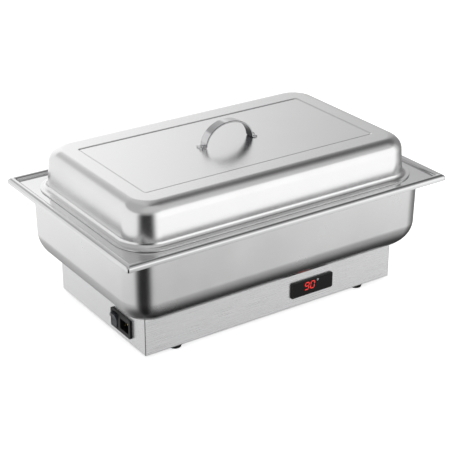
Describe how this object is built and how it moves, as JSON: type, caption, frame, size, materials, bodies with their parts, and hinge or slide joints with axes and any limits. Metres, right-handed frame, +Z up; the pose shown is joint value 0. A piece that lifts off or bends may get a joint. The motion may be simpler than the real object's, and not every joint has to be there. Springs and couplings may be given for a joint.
{
  "type": "electric buffet server",
  "caption": "Electric buffet server: stainless base with heater and display, water basin with a raised rim, food pan and a lift-off lid with an arched handle.",
  "frame": {"origin": "on the floor under the middle of the rim frame, at the bottom of the rubber feet", "axes": "+Z up, X along the long side with the mains inlet at -X, the display faces -Y"},
  "size_m": [0.585, 0.38, 0.2904],
  "materials": {
    "lid_steel": "satin, drawn sheet",
    "basin_steel": "satin, drawn sheet",
    "rim_steel": "bright rolled edge",
    "food_pan_steel": "satin, drawn sheet",
    "housing_steel": "fine brushed sheet",
    "handle_steel": "polished",
    "plated_steel": "zinc plated",
    "heater_aluminium": "machined",
    "element_sheath": "heat darkened",
    "foot_rubber": "matte moulded",
    "bezel_black": "smooth gloss",
    "inlet_black": "fine moulded grain",
    "rocker_black": "smooth gloss",
    "display_smoke": "smoked window",
    "component_black": "moulded",
    "post_nylon": "moulded",
    "board_laminate": "solder mask",
    "insulation_fibre": "needled fibre mat",
    "contact_brass": "bright",
    "wire_brown": "extruded",
    "wire_blue": "extruded",
    "wire_green": "extruded",
    "wire_grey": "extruded"
  },
  "bodies": {
    "base": {"board_post_1": "post_nylon", "board_post_2": "post_nylon", "board_post_3": "post_nylon", "board_post_4": "post_nylon", "bottom_plate": "plated_steel", "clamp_screw_left_back": "plated_steel", "clamp_screw_left_front": "plated_steel", "clamp_screw_right_back": "plated_steel", "clamp_screw_right_front": "plated_steel", "control_board": "board_laminate", "digit_module": "component_black", "display_bezel": "bezel_black", "display_board": "board_laminate", "display_ribbon": "wire_grey", "display_window": "display_smoke", "earth_nut": "plated_steel", "earth_screw": "plated_steel", "earth_wire": "wire_green", "element_clamp_left": "plated_steel", "element_clamp_right": "plated_steel", "foot_back_left": "foot_rubber", "foot_back_right": "foot_rubber", "foot_front_left": "foot_rubber", "foot_front_right": "foot_rubber", "foot_nut_back_left": "plated_steel", "foot_nut_back_right": "plated_steel", "foot_nut_front_left": "plated_steel", "foot_nut_front_right": "plated_steel", "foot_screw_back_left": "plated_steel", "foot_screw_back_right": "plated_steel", "foot_screw_front_left": "plated_steel", "foot_screw_front_right": "plated_steel", "heat_shield": "plated_steel", "heater_terminal_block": "component_black", "heater_wire_back": "wire_grey", "heater_wire_front": "wire_grey", "heating_element": "element_sheath", "heating_plate": "heater_aluminium", "housing_shell": "housing_steel", "inlet_pin_earth": "contact_brass", "inlet_pin_line": "contact_brass", "inlet_pin_neutral": "contact_brass", "inlet_unit": "inlet_black", "insulation_mat": "insulation_fibre", "line_wire": "wire_brown", "mains_terminal_block": "component_black", "neutral_wire": "wire_blue", "relay": "component_black", "temperature_probe": "handle_steel", "thermal_cutout": "post_nylon", "transformer": "plated_steel"},
    "water_basin": {"water_basin": "basin_steel", "rim_frame": "rim_steel", "rim_ledge": "rim_steel"},
    "food_pan": {"food_pan": "food_pan_steel"},
    "lid": {"lid_shell": "lid_steel", "lid_handle": "handle_steel", "handle_rivet_left": "handle_steel", "handle_rivet_right": "handle_steel"},
    "power_switch": {"power_rocker": "rocker_black"}
  },
  "joints": [
    {"name": "water_basin_lift", "type": "slide", "parent": "base", "child": "water_basin", "axis": [0, 0, 1], "range_m": [0, 0.15]},
    {"name": "food_pan_lift", "type": "slide", "parent": "water_basin", "child": "food_pan", "axis": [0, 0, 1], "range_m": [0, 0.1]},
    {"name": "lid_lift", "type": "slide", "parent": "food_pan", "child": "lid", "axis": [0, 0, 1], "range_m": [0, 0.12]},
    {"name": "power_switch_rock", "type": "hinge", "parent": "base", "child": "power_switch", "pos_m": [-0.2359, -0.0485, 0.0335], "axis": [0, 1, 0], "range_deg": [0, 16]}
  ]
}
